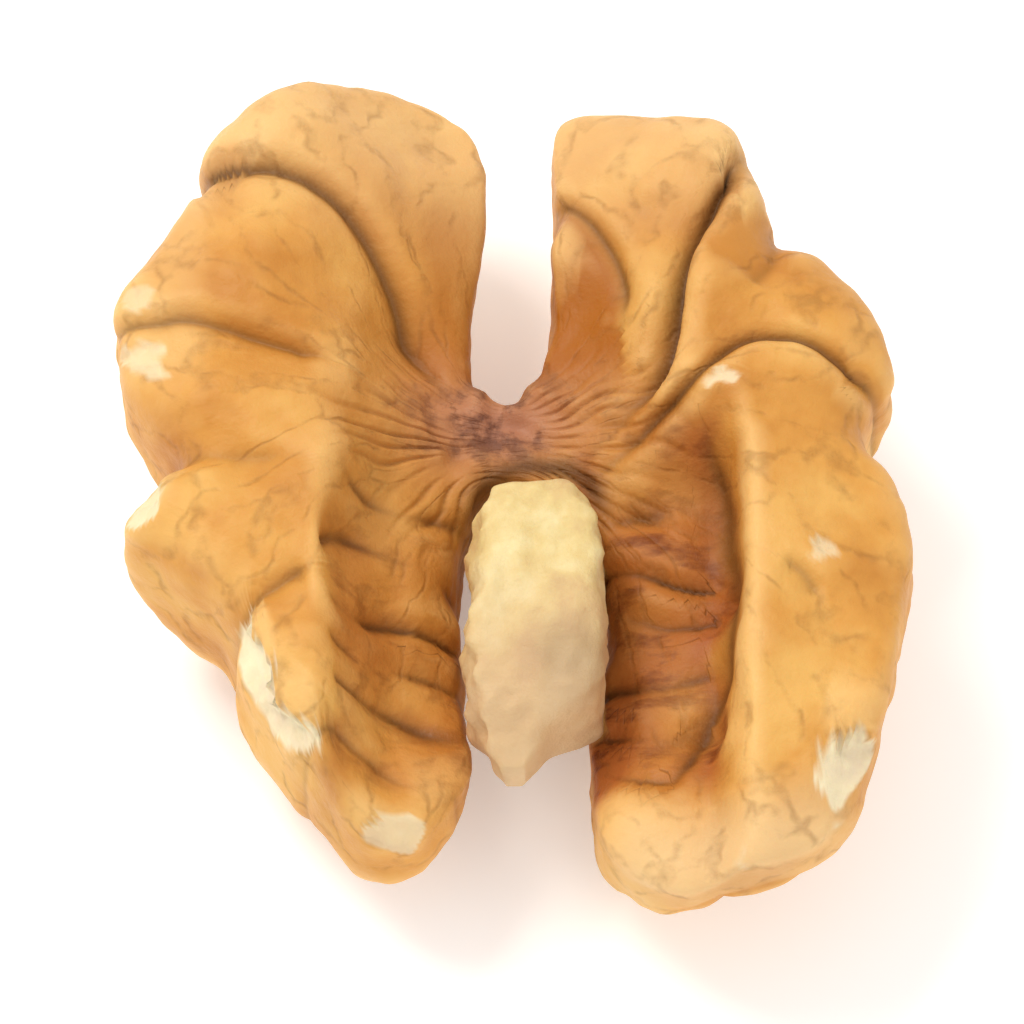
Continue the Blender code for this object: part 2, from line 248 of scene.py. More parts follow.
# Height of the split face: soft steps up from the troughs to the rim, and down to the slot and tips
def faceHeight(side, x, y):
    across = np.abs(x)
    inner, outer = kernel["troughInner"][side], kernel["troughOuter"][side]
    t = (across - inner) / (outer - inner)
    floor = kernel["troughFloorRise"]
    trough = floor * np.clip(t, 0, 1) + (1 - floor) * softStep(kernel["troughFoot"][side], 1.02, t)
    trough = trough + (1 - trough) * kernel["troughEndRise"] * softStep(-12.0, -16.5, y)
    slotSide = kernel["slotSideHeight"] + (1 - kernel["slotSideHeight"]) * softStep(0.5, 8.5, across)
    slotShare = softStep(-1, 8, y)
    upper = slotSide * slotShare + softStep(1.5, 7.5, across) * (1 - slotShare)
    share = softStep(*kernel["troughTop"][side], y)
    fall = kernel["lowTipFall"] * softStep(-12.0, -19.0, y) + kernel["highTipFall"] * softStep(8, 13, y)
    return kernel["faceHeight"] + kernel["rimRise"] * (trough * (1 - share) + upper * share) - fall


# Height of the back: the lower half of an ellipsoid, with a bell-shaped groove along its middle
def backHeight(x, y):
    wide, long = kernel["backRadii"]
    far = (x / wide) ** 2 + ((y - kernel["backCentreY"]) / long) ** 2
    dome = kernel["backDepth"] * (1 - np.sqrt(np.clip(1 - far, 0.02, 1)))
    return dome + kernel["grooveDepth"] * bell(x, kernel["grooveWidth"])


# A lobe: a point of a box (out, along, level) is drawn in by a power norm, which rounds its edges,
# then out and along place it in plan, and level puts it between the back and the face
def lobePoint(side, out, along, level):
    plan, edge = kernel["planCorner"], kernel["edgeCorner"]
    inPlan = (np.abs(out) ** plan + np.abs(along) ** plan) ** (1 / plan)
    reach = (inPlan ** edge + np.abs(level) ** edge) ** (1 / edge)
    place = planPoint(side, out / reach, along / reach)
    x, y = place[..., 0], place[..., 1]
    top, bottom = faceHeight(side, x, y), backHeight(x, y)
    z = (top + bottom) / 2 + level / reach * (top - bottom) / 2
    fan = np.stack([out / reach, side * (1.5 + along / reach), level / reach], axis=-1)
    return np.stack([x, y, z], axis=-1), fan


def gridQuads(rows, columns, closed, turned):
    i, j = np.meshgrid(np.arange(rows - 1), np.arange(columns if closed else columns - 1), indexing="ij")
    k = (j + 1) % columns
    quads = np.stack([i * columns + j, i * columns + k, (i + 1) * columns + k, (i + 1) * columns + j],
                     axis=-1).reshape(-1, 4)
    return quads[:, ::-1] if turned else quads


# Two grids make a lobe: a tube of rings from the bridge outwards, and the cap along the rim
def lobeGrids(side):
    rings, alongRim, roundEdge = kernel["rings"], kernel["alongRim"], kernel["roundEdge"]
    run, turn = np.linspace(-1, 1, alongRim + 1), np.linspace(1, -1, roundEdge + 1)
    oneRun, oneTurn = np.ones(alongRim), np.ones(roundEdge)
    along = np.concatenate([run[:-1], oneTurn, -run[:-1], -oneTurn])
    level = np.concatenate([oneRun, turn[:-1], -oneRun, -turn[:-1]])
    out, alongGrid = np.meshgrid(np.linspace(0, 1, rings + 1), along, indexing="ij")
    tube = lobePoint(side, out, alongGrid, np.broadcast_to(level, out.shape))
    capAlong, capLevel = np.meshgrid(run, turn, indexing="ij")
    cap = lobePoint(side, np.ones(capAlong.shape), capAlong, capLevel)
    return [(tube, gridQuads(rings + 1, len(along), True, side < 0)),
            (cap, gridQuads(alongRim + 1, roundEdge + 1, False, side > 0))]


# Points that two grids share are found by their rounded place and made one
def joinGrids(grids):
    points = np.vstack([grid[0].reshape(-1, 3) for grid, _ in grids])
    fan = np.vstack([grid[1].reshape(-1, 3) for grid, _ in grids])
    starts = np.cumsum([0] + [grid[0].size // 3 for grid, _ in grids])
    quads = np.vstack([faces + start for (_, faces), start in zip(grids, starts)])
    cells = np.round(points * 10000).astype(np.int64)
    _, first, index = np.unique(cells, axis=0, return_index=True, return_inverse=True)
    return points[first], fan[first], index.reshape(-1)[quads]


def pointNormals(points, quads):
    corners = points[quads]
    cross = np.cross(corners[:, 2] - corners[:, 0], corners[:, 3] - corners[:, 1])
    normals = np.zeros_like(points)
    for corner in range(4):
        np.add.at(normals, quads[:, corner], cross)
    return normals / np.maximum(np.linalg.norm(normals, axis=1, keepdims=True), 1e-12)


# Signed distance in plan to a curve, and how far along it the nearest place is, from 0 to 1
def curveDistance(x, y, points):
    curve = curveThrough(points, 8)
    nearest, signed, place = np.full(x.shape, 1e9), np.zeros(x.shape), np.zeros(x.shape)
    for i, (start, end) in enumerate(zip(curve[:-1], curve[1:])):
        step = end - start
        dx, dy = x - start[0], y - start[1]
        t = np.clip((dx * step[0] + dy * step[1]) / step.dot(step), 0, 1)
        away = np.hypot(dx - t * step[0], dy - t * step[1])
        closer = away < nearest
        nearest = np.where(closer, away, nearest)
        signed = np.where(closer, away * np.sign(step[0] * dy - step[1] * dx), signed)
        place = np.where(closer, (i + t) / (len(curve) - 1), place)
    return signed, place


# Sum of cosine waves of nearly one length in all directions; returns the sum and its slope
def waveField(points, length, seed, count=28):
    rng = np.random.default_rng(seed)
    waves = rng.normal(size=(count, 3))
    waves /= np.linalg.norm(waves, axis=1, keepdims=True)
    waves *= rng.uniform(0.85, 1.15, size=(count, 1)) * 2 * np.pi / length
    phase = points @ waves.T + rng.uniform(0, 2 * np.pi, count)
    scale = math.sqrt(2 / count)
    return scale * np.cos(phase).sum(axis=1), -scale * np.sin(phase) @ waves


def waveHeight(points, length, seed):
    return waveField(points, length, seed)[0]


# Sum of several wave fields, each given as its height, length and seed
def waveSum(points, layers):
    return sum(high * waveHeight(points, length, seed) for high, length, seed in layers)


# Distance along the surface to the nearest place where a wave field is zero: height over slope
def foldDistance(points, normals, length, seed):
    height, slope = waveField(points, length, seed)
    slope = slope - (slope * normals).sum(axis=1, keepdims=True) * normals
    leastSlope = 2.125 / length      # where the field is flat, the distance would be endless
    return height / np.maximum(np.linalg.norm(slope, axis=1), leastSlope)


# Each point keeps its strongest crease: the distance from it in line widths, its ink and its painted shade
def markCrease(marks, away, thin, ink, shade):
    marks["line"] = np.where(ink > marks["ink"], away / thin, marks["line"])
    marks["ink"] = np.maximum(marks["ink"], ink)
    marks["foldShade"] = np.maximum(marks["foldShade"], shade)


# The drawn folds of the face, each with a rounded pillow beside it, one bank over the other, and painted
# shade along it
def foldFace(x, y, upward, marks):
    move = np.zeros(len(x))
    for fold in faceFolds:
        away, place = curveDistance(x, y, fold["line"])
        here = softStep(-0.2, 0.2, fold["side"] * x) * (0.25 + 0.75 * softStep(0, 0.12, place)
                                                      * softStep(1, 0.85, place))
        depth = crease(away, fold["wide"]) + relief["pillowShare"] * bell(away, relief["pillowWidth"])
        bank = fold["step"] * np.tanh(away / relief["bankWidth"]) * bell(away, relief["bankReach"])
        move -= here * (fold["deep"] * depth - bank) * (0.35 + 0.65 * upward)
        ink = fold["ink"] * here * (0.3 + 0.7 * upward) * softStep(1.0, 0.5, np.abs(away))
        shade = fold["ink"] * here * bell(away, 0.7 * fold["wide"] + 0.15)
        markCrease(marks, away, fold["thin"], ink, shade)
    return move


# Winding folds over the back, where a wave field is zero, with painted shade along them, and small ones that
# are shallow in front
def foldBack(points, normals, marks):
    backward = 1 - softStep(-0.85, -0.1, normals[:, 2])
    away = foldDistance(points, normals, relief["backFoldLength"], 5)
    depth = (relief["backFoldDeep"] * crease(away, relief["backFoldWide"])
             + relief["backPillow"] * bell(away, relief["backPillowWidth"]) - relief["backSwell"])
    ink = relief["backFoldInk"] * backward
    markCrease(marks, away, relief["backFoldThin"], ink * softStep(1.0, 0.5, np.abs(away)),
               ink * bell(away, 0.4))
    small = foldDistance(points, normals, relief["smallFoldLength"], 8)
    share = 0.12 + 0.88 * backward
    return -backward * depth - relief["smallFoldDeep"] * share * crease(small, relief["smallFoldWide"])


# Cross wrinkles in the troughs, with painted shade along them, and how rusty the skin is there
def wrinkleTroughs(points, upward, marks):
    x, y, across = points[:, 0], points[:, 1], np.abs(points[:, 0])
    inner = np.where(x < 0, kernel["troughInner"][-1], kernel["troughInner"][1])
    edge = np.where(x < 0, kernel["rustEdge"][-1], kernel["rustEdge"][1]) + 0.3 * waveHeight(points, 3.6, 24)
    trough = (softStep(inner - 0.9, inner, across) * softStep(edge + 0.2, edge - 0.5, across)
              * softStep(0.2, -1.6, y) * softStep(-16.0, -13.6, y) * upward)
    tilt = relief["wrinkleTilt"] * softStep(-7, -1, y) * (across - inner)
    level = (y - tilt + 0.5 * waveHeight(points, 6.0, 21)) / relief["wrinkleGap"]
    gap = (level - np.round(level)) * relief["wrinkleGap"]
    uneven = np.clip(0.6 + 0.4 * waveHeight(points, 3.0, 22), 0, 1.2)
    crossing = trough * softStep(-2.0, -4.5, y) * uneven
    ink = relief["wrinkleInk"] * crossing * softStep(0.9, 0.5, np.abs(gap))
    markCrease(marks, gap, relief["wrinkleThin"], ink, 0.6 * crossing * bell(gap, 0.3))
    rusty = np.where(x < 0, 0.2 + 0.3 * softStep(-2.0, -8.0, y), 0.75 + 0.25 * softStep(-2.0, -6.0, y))
    marks["trough"] = np.clip(trough * rusty * (0.8 + 0.35 * waveHeight(points, 4.2, 28)), 0, 1.2)
    return -crossing * relief["wrinkleDeep"] * (crease(gap, relief["wrinkleWide"]) + 0.6 * bell(gap, 0.6))


# Fine radial wrinkles of the skin round the bridge, with painted shade in their valleys
def pleatBridge(points, fan, upward, marks):
    x, y = points[:, 0], points[:, 1]
    reach = np.hypot(x - 0.4, y + 0.2)
    turn = relief["pleats"] * np.pi * (fan[:, 1] + 0.035 * waveHeight(points, 3.0, 25))
    pleat = (0.5 + 0.5 * np.cos(turn + 1.5 * waveHeight(points, 5.0, 26))) ** relief["pleatSharp"]
    pleated = (softStep(0.9, 2.2, reach) * softStep(8.0, 4.5, reach) * softStep(3.5, 1.0, y)
               * np.clip(0.75 + 0.5 * waveHeight(points, 2.2, 27), 0, 1) * upward)
    marks["foldShade"] = np.maximum(marks["foldShade"], 0.5 * pleated * pleat)
    return -relief["pleatDeep"] * pleated * pleat


# Where the skin has a colour of its own, the bridge; and where light and shade are painted: painted shade on
# the slot's banks and round the stub's top, and painted highlights on the upper end, the lower right tip and
# the far left
def skinMasks(x, y, upward):
    bridge = bell(x + 0.2, 3.2) * bell(y - 0.4, 1.9) * (0.3 + 0.7 * upward)
    besideFold, _ = curveDistance(x, y, slotFold["line"])
    # Painted shade on the steep banks on both sides of the slot
    rightBank = softStep(0.2, -0.5, besideFold) * softStep(4.6, 3.8, x) * softStep(0.5, 1.2, x)
    leftBank = 0.75 * softStep(-3.6, -2.2, x) * softStep(-0.2, -0.6, x) * softStep(11.5, 8.0, y)
    slotBankShade = (rightBank + leftBank) * softStep(0.5, 3.0, y) * upward
    # Painted shadow round the stub's top, where it stands above the trough
    stubShadowLine, place = curveDistance(x, y, kernel["stubShadowLine"])
    stubShadow = bell(stubShadowLine, kernel["stubShadowWidth"]) * softStep(0, 0.2, place) * softStep(1, 0.8, place) * upward
    # Painted highlight: paler skin toward the upper end, on the lower right tip and on the far left rim, on
    # upward faces only
    paleHighlight = (0.45 * softStep(5.0, 12.0, y) + 0.8 * softStep(3.0, 5.0, x) * softStep(-14.8, -17.5, y)
            + 0.25 * softStep(-10.0, -11.5, x) * softStep(-1.0, 2.0, y)) * upward
    return {"bridge": bridge, "slotBankShade": slotBankShade, "stubShadow": stubShadow, "paleHighlight": paleHighlight}


# All relief of the skin as one move along the normal, and the masks that its colours follow
def carve(points, normals, fan):
    x, y = points[:, 0], points[:, 1]
    upward = softStep(-0.35, 0.35, normals[:, 2])
    marks = {"foldShade": np.zeros(len(x)), "line": np.full(len(x), 9.0), "ink": np.zeros(len(x))}
    move = foldFace(x, y, upward, marks)
    move += foldBack(points, normals, marks)
    move += waveSum(points, relief["faceSwells"]) * upward + waveSum(points, relief["swells"])
    move += wrinkleTroughs(points, upward, marks)
    tipX, tipY = relief["tipShadeAt"]
    tipShade = 0.8 * bell(x - tipX, 1.0) * bell(y - tipY, 1.6) * upward
    marks["foldShade"] = np.maximum(marks["foldShade"], tipShade)
    move += pleatBridge(points, fan, upward, marks)
    marks.update(skinMasks(x, y, upward))
    move += relief["bridgeLumps"] * marks["bridge"] * waveHeight(points, 1.1, 23)
    return move, marks


# A chip cuts the surface back to a slightly rough plane set below the highest point within its reach
def breakChips(points):
    flesh = np.zeros(len(points))
    rough = waveSum(points, relief["breakRough"])
    thickest = relief["breakThickest"]
    for chip in chips:
        facing = np.array(chip["facing"]) / np.linalg.norm(chip["facing"])
        offset = points - np.array(chip["at"])
        height = offset @ facing
        sideways = np.linalg.norm(offset - height[:, None] * facing, axis=1)
        near = (sideways < chip["reach"]) & (np.abs(height) < thickest)
        cut = height[near].max() - chip["deep"]
        within = softStep(1.0, 0.8, sideways / chip["reach"] + 0.8 * rough) * (np.abs(height) < thickest)
        over = np.maximum(height - cut - rough * 0.6, 0) * within
        points = points - over[:, None] * facing
        flesh = np.maximum(flesh, chip["bare"] * softStep(0.0, 0.07, over))
    return points, flesh


def smoothOver(values, quads, rounds):
    edges = np.vstack([quads[:, [0, 1]], quads[:, [1, 2]], quads[:, [2, 3]], quads[:, [3, 0]]])
    counts = np.bincount(edges[:, 0], minlength=len(values))
    for _ in range(rounds):
        values = np.bincount(edges[:, 0], weights=values[edges[:, 1]], minlength=len(values)) / counts
    return values


# How far each point lies under its neighbours, in standard deviations: hollows are above 0
def hollowness(points, quads):
    normals = pointNormals(points, quads)
    neighbours = np.stack([smoothOver(points[:, k], quads, 3) for k in range(3)], axis=-1)
    hollow = smoothOver(((neighbours - points) * normals).sum(axis=1), quads, 4)
    return hollow / hollow.std()


def newPiece(name, points, faces, values):
    mesh = bpy.data.meshes.new(name)
    mesh.from_pydata((points * mm).tolist(), [], faces.tolist())
    for label, numbers in values.items():
        vector = numbers.ndim == 2
        layer = mesh.attributes.new(label, "FLOAT_VECTOR" if vector else "FLOAT", "POINT")
        layer.data.foreach_set("vector" if vector else "value", numbers.astype(np.float32).ravel())
    obj = bpy.data.objects.new(name, mesh)
    bpy.context.scene.collection.objects.link(obj)
    return obj


# Rounded-square sections carried along Y and closed to a point at each end
def stubGrid():
    y, middle, half, low, high = curveThrough(stub["sections"], stub["stepsBetween"]).T
    ends = np.array([0.0] + [1.0] * len(y) + [0.0])
    y, middle, half, low, high = (np.concatenate([v[:1], v, v[-1:]]) for v in (y, middle, half, low, high))
    angle = np.linspace(0, 2 * np.pi, stub["sides"], endpoint=False)
    c, s = np.cos(angle), np.sin(angle)
    size = (np.abs(c) ** stub["corner"] + np.abs(s) ** stub["corner"]) ** (-1 / stub["corner"])
    x = middle[:, None] + np.outer(half * ends, c * size)
    z = ((low + high) / 2)[:, None] + np.outer((high - low) / 2 * ends, s * size)
    points = np.stack([x, np.broadcast_to(y[:, None], x.shape), z], axis=-1)
    return points, gridQuads(len(y), stub["sides"], True, False)


# The stub with its broken, ragged sides and rough top
def buildStub(shift):
    points, quads = stubGrid()
    points = points.reshape(-1, 3)
    across = points[:, 0] - stub["middleX"]
    ragged = waveSum(points, stub["raggedSides"])
    points[:, 0] -= ragged * softStep(-0.9, -1.7, across) - 0.5 * ragged * softStep(0.9, 1.7, across)
    points[:, 2] += softStep(9.0, 10.4, points[:, 2]) * waveSum(points, stub["roughTop"])
    obj = newPiece("stub", points - shift, quads, {})
    work = bmesh.new()
    work.from_mesh(obj.data)
    bmesh.ops.remove_doubles(work, verts=work.verts, dist=1e-7)
    bmesh.ops.recalc_face_normals(work, faces=work.faces)
    work.to_mesh(obj.data)
    work.free()
    return obj


def uniteStub(half, stubPiece):
    union = half.modifiers.new("stub", "BOOLEAN")
    union.operation = "UNION"
    union.solver = "EXACT"
    union.material_mode = "TRANSFER"
    union.object = stubPiece
    bpy.context.view_layer.update()
    merged = bpy.data.meshes.new_from_object(half.evaluated_get(bpy.context.evaluated_depsgraph_get()))
    half.modifiers.clear()
    half.data = merged
    merged.name = half.name
    bpy.data.objects.remove(stubPiece, do_unlink=True)
    merged.shade_smooth()


# The lobes are folded and chipped, united with the stub, and fitted to the frame's box. They move
# along smoothed normals, because the sharp edges' own would cross each other inside a deep fold.
def buildHalf(skin, broken):
    points, fan, quads = joinGrids(lobeGrids(-1) + lobeGrids(1))
    normals = pointNormals(points, quads)
    move, values = carve(points, normals, fan)
    steady = np.stack([smoothOver(normals[:, k], quads, 14) for k in range(3)], axis=-1)
    steady /= np.linalg.norm(steady, axis=1, keepdims=True)
    points, flesh = breakChips(points + steady * move[:, None])
    values.update({"fan": fan, "flesh": flesh, "hollow": hollowness(points, quads)})
    print("lobes:", len(points), "points carved")
    low, high = points.min(axis=0), points.max(axis=0)
    shift = np.array([(low[0] + high[0]) / 2, (low[1] + high[1]) / 2, low[2] + kernel["flatDepth"]])
    points = points - shift
    points[:, 2] = np.maximum(points[:, 2], 0.0)
    half = newPiece("walnutKernelHalf", points, quads, values)
    half.data.materials.append(skin)
    stubPiece = buildStub(shift)
    stubPiece.data.materials.append(broken)
    uniteStub(half, stubPiece)
    fitToFrame(half.data)
    print("kernel half:", len(half.data.vertices), "points,", len(half.data.polygons), "faces")
    return half


# The mesh is scaled by up to about 3.5 percent along each axis, to fill the CAD node's own box
def fitToFrame(mesh):
    points = np.empty(len(mesh.vertices) * 3, np.float32)
    mesh.vertices.foreach_get("co", points)
    points = points.reshape(-1, 3)
    low, high = points.min(axis=0), points.max(axis=0)
    boxLow, boxHigh = (np.array(corner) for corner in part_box("walnut_half"))
    stretch = (boxHigh - boxLow) / (high - low)
    print("stretch", stretch)
    points = boxLow + (points - low) * stretch
    mesh.vertices.foreach_set("co", points.astype(np.float32).ravel())
    mesh.update()


def linear(hexColour):
    parts = [int(hexColour[i:i + 2], 16) / 255 for i in (1, 3, 5)]
    return tuple(p / 12.92 if p <= 0.04045 else ((p + 0.055) / 1.055) ** 2.4 for p in parts) + (1.0,)


# Adds a node; settings are the node's own properties or its inputs' values, links are its inputs' sources
def addNode(tree, kind, settings=None, links=None):
    node = tree.nodes.new(kind)
    for key, value in (settings or {}).items():
        if isinstance(key, str) and hasattr(node, key):
            setattr(node, key, value)
        else:
            node.inputs[key].default_value = value
    for key, source in (links or {}).items():
        tree.links.new(source, node.inputs[key])
    return node


def newMaterial(name):
    material = bpy.data.materials.new(name)
    material.use_nodes = True
    tree = material.node_tree
    return material, tree, tree.nodes["Principled BSDF"]


# The piece's own place in mm, which every texture follows
def placeInMm(tree):
    place = addNode(tree, "ShaderNodeTexCoord").outputs["Object"]
    return addNode(tree, "ShaderNodeVectorMath", {"operation": "SCALE", "Scale": 1 / mm},
                   {0: place}).outputs[0]


skinLook = {
    "deepGold": "#C68436", "gold": "#D89A48", "paleGold": "#E4B05E",
    "crestHighlightCream": "#EDBE76",
    "highlightPeach": "#EAC48C",
    "hollowShadeBrown": "#A4662A",
    "innerBrown": "#B8742C",
    "troughRust": "#A6541E", "troughDark": "#6E300A",
    "slotBankShadeOrange": "#A85E0C",
    "veinBrown": "#80501E",
    "bridgeMauve": "#AC745C", "bridgeDark": "#5E3528",
    "creaseShadeBrown": "#8C5018", "lineAndShadowDark": "#54300E",
    "chipCream": "#F6EBD2",
    "toneSize": 5.5,                       # mm
    "mottleSize": 1.3,
    "blotchStretch": (0.45, 1.1, 0.6),
    "veinStretch": (2.6, 9.0, 1.6),
    "veinWidth": 0.10,
    # new mask, what it follows, where it begins, where it is full, its greatest share
    # The crest and dip fades paint a highlight on convex places and shade in hollow ones, read from the
    # mesh's hollowness
    "fades": [("crestHighlight", "hollow", -0.3, -2.2, 0.7), ("hollowShade", "hollow", 0.2, 2.8, 0.6),
              ("inner", "outward", 0.95, 0.45, 0.3), ("veinFade", "mottle", 0.42, 0.62, 1.0),
              ("blotches", "blotch", 0.5, 0.66, 1.0), ("spots", "mottle", 0.48, 0.6, 1.0)],
    # colours laid over each other from the first to the last: colour, mask, greatest share
    # Painted light among the coats: the crest cream is a painted highlight on convex places and the peach one
    # on the upper end and tips; the hollow brown, the slot banks' orange, the crease brown and the dark round
    # the stub's top are painted shade
    "coats": [("innerBrown", "inner", 1.0), ("slotBankShadeOrange", "slotBankShade", 0.95), ("crestHighlightCream", "crestHighlight", 1.0),
              ("hollowShadeBrown", "hollowShade", 1.0), ("highlightPeach", "paleHighlight", 1.0), ("troughRust", "trough", 0.75),
              ("troughDark", "troughBlotch", 0.85), ("veinBrown", "vein", 0.35),
              ("bridgeMauve", "bridge", 0.9), ("bridgeDark", "bridgeSpot", 0.8),
              ("creaseShadeBrown", "foldShade", 0.4), ("lineAndShadowDark", "stubShadow", 0.8),
              ("lineAndShadowDark", "thread", 0.85)],
    "bumpDepth": 0.10,                     # mm
    "bumpStrength": 0.55,
    "veinSink": 0.5,
    "threadSink": 1.2,
}


# Veins: cell borders in fan coordinates, so they run out from the bridge and branch
def veinLines(tree, place, fan):
    stretched = addNode(tree, "ShaderNodeVectorMath", {"operation": "MULTIPLY", 1: skinLook["veinStretch"]},
                        {0: fan}).outputs[0]
    bend = addNode(tree, "ShaderNodeTexNoise", {"Scale": 0.35, "Detail": 3.0}, {"Vector": place})
    bent = addNode(tree, "ShaderNodeVectorMath", {"operation": "MULTIPLY_ADD", 1: (1.6, 1.6, 1.6)},
                   {0: bend.outputs["Color"], 2: stretched}).outputs[0]
    cells = addNode(tree, "ShaderNodeTexVoronoi", {"feature": "DISTANCE_TO_EDGE", "Scale": 1.0},
                    {"Vector": bent})
    return addNode(tree, "ShaderNodeMapRange", {"interpolation_type": "SMOOTHSTEP", "From Min": 0.0,
                                                "From Max": skinLook["veinWidth"], "To Min": 1.0,
                                                "To Max": 0.0},
                   {"Value": cells.outputs["Distance"]}).outputs[0]


# The thin line at the bottom of a fold: a bell curve of the distance from it, in line widths
def foldThread(tree, line, ink):
    square = addNode(tree, "ShaderNodeMath", {"operation": "MULTIPLY"}, {0: line, 1: line}).outputs[0]
    minus = addNode(tree, "ShaderNodeMath", {"operation": "MULTIPLY", 1: -1.0}, {0: square}).outputs[0]
    curve = addNode(tree, "ShaderNodeMath", {"operation": "EXPONENT"}, {0: minus}).outputs[0]
    return addNode(tree, "ShaderNodeMath", {"operation": "MULTIPLY"}, {0: curve, 1: ink}).outputs[0]


# Every mask of the skin by its name: the mesh's own values, the noises, and what follows from them
def skinShares(tree, place):
    look = skinLook
    masks = {label: addNode(tree, "ShaderNodeAttribute", {"attribute_name": label}).outputs["Fac"]
             for label in ("flesh", "hollow", "trough", "bridge", "foldShade", "line", "ink", "slotBankShade", "stubShadow",
                           "paleHighlight")}
    fan = addNode(tree, "ShaderNodeAttribute", {"attribute_name": "fan"}).outputs["Vector"]
    masks["outward"] = addNode(tree, "ShaderNodeSeparateXYZ", {}, {0: fan}).outputs["X"]
    drawn = addNode(tree, "ShaderNodeVectorMath", {"operation": "MULTIPLY", 1: look["blotchStretch"]},
                    {0: place}).outputs[0]
    for name, scale, detail, rough, where in (("tone", 1 / look["toneSize"], 4.0, 0.55, place),
                                              ("mottle", 1 / look["mottleSize"], 5.0, 0.6, place),
                                              ("fine", 3.2, 5.0, 0.6, place),
                                              ("blotch", 1.0, 4.0, 0.6, drawn)):
        masks[name] = addNode(tree, "ShaderNodeTexNoise", {"Scale": scale, "Detail": detail,
                                                           "Roughness": rough},
                              {"Vector": where}).outputs["Fac"]
    for name, source, start, full, most in look["fades"]:
        masks[name] = addNode(tree, "ShaderNodeMapRange", {"From Min": start, "From Max": full,
                                                           "To Max": most},
                              {"Value": masks[source]}).outputs[0]
    masks["veins"] = veinLines(tree, place, fan)
    for name, first, second in (("vein", "veins", "veinFade"), ("troughBlotch", "blotches", "trough"),
                                ("bridgeSpot", "spots", "bridge")):
        masks[name] = addNode(tree, "ShaderNodeMath", {"operation": "MULTIPLY"},
                              {0: masks[first], 1: masks[second]}).outputs[0]
    masks["thread"] = foldThread(tree, masks["line"], masks["ink"])
    return masks


# Walnut pellicle: a dry tannin-brown skin, thin and slightly waxy, so it is golden with a painted
# highlight on the crests and painted shade in the hollows, and shows its veins as fine darker threads
def makeSkin():
    look = skinLook
    material, tree, shader = newMaterial("walnutPellicle")
    place = placeInMm(tree)
    masks = skinShares(tree, place)
    base = addNode(tree, "ShaderNodeValToRGB", {}, {"Fac": masks["tone"]})
    ramp = base.color_ramp
    ramp.elements[0].position, ramp.elements[0].color = 0.36, linear(look["deepGold"])
    ramp.elements[1].position, ramp.elements[1].color = 0.64, linear(look["paleGold"])
    ramp.elements.new(0.5).color = linear(look["gold"])
    colour = base.outputs["Color"]
    for over, mask, strength in look["coats"]:
        share = addNode(tree, "ShaderNodeMath", {"operation": "MULTIPLY", 1: strength}, {0: masks[mask]})
        colour = addNode(tree, "ShaderNodeMix", {"data_type": "RGBA", 7: linear(look[over])},
                         {0: share.outputs[0], 6: colour}).outputs[2]
    flesh = addNode(tree, "ShaderNodeMix", {"data_type": "RGBA", 0: 0.5, 7: linear(look["chipCream"])},
                    {6: fleshColour(tree, place)}).outputs[2]
    colour = addNode(tree, "ShaderNodeMix", {"data_type": "RGBA"},
                     {0: masks["flesh"], 6: colour, 7: flesh}).outputs[2]
    rough = addNode(tree, "ShaderNodeMapRange", {"From Min": 0.3, "From Max": 0.7, "To Min": 0.42,
                                                 "To Max": 0.62}, {"Value": masks["mottle"]})
    height = addNode(tree, "ShaderNodeMath", {"operation": "MULTIPLY_ADD", 1: -look["veinSink"]},
                     {0: masks["vein"], 2: masks["fine"]})
    height = addNode(tree, "ShaderNodeMath", {"operation": "MULTIPLY_ADD", 1: -look["threadSink"]},
                     {0: masks["thread"], 2: height.outputs[0]})
    bump = addNode(tree, "ShaderNodeBump", {"Strength": look["bumpStrength"],
                                            "Distance": look["bumpDepth"] * mm},
                   {"Height": height.outputs[0]})
    tree.links.new(colour, shader.inputs["Base Color"])
    tree.links.new(rough.outputs[0], shader.inputs["Roughness"])
    tree.links.new(bump.outputs[0], shader.inputs["Normal"])
    shader.inputs["Subsurface Weight"].default_value = 0.12
    shader.inputs["Subsurface Radius"].default_value = (1.0, 0.45, 0.2)
    shader.inputs["Subsurface Scale"].default_value = 0.8 * mm
    shader.inputs["IOR"].default_value = 1.46
    shader.inputs["Specular IOR Level"].default_value = 0.3
    print("skin made")
    return material


brokenLook = {
    "fleshLight": "#EAD69E", "fleshMid": "#DFC484", "fleshDark": "#CEAA74",
    "fleshPink": "#D2AC84", "fleshTan": "#A88864",
    "pinkFrom": -4.0,                      # mm along Y, and where it is full
    "pinkTo": -9.5,
    "tanSpotAt": (2.0, -8.2, 9.5),
    "crumbScale": 2.6,
    "crumbDepth": 0.12,                    # mm
}


# Broken nut meat: cream with faint yellow and tan clouds
def fleshColour(tree, place):
    look = brokenLook
    cloud = addNode(tree, "ShaderNodeTexNoise", {"Scale": 0.45, "Detail": 5.0, "Roughness": 0.55},
                    {"Vector": place})
    node = addNode(tree, "ShaderNodeValToRGB", {}, {"Fac": cloud.outputs["Fac"]})
    ramp = node.color_ramp
    ramp.elements[0].position, ramp.elements[0].color = 0.34, linear(look["fleshDark"])
    ramp.elements[1].position, ramp.elements[1].color = 0.62, linear(look["fleshLight"])
    ramp.elements.new(0.48).color = linear(look["fleshMid"])
    return node.outputs["Color"]


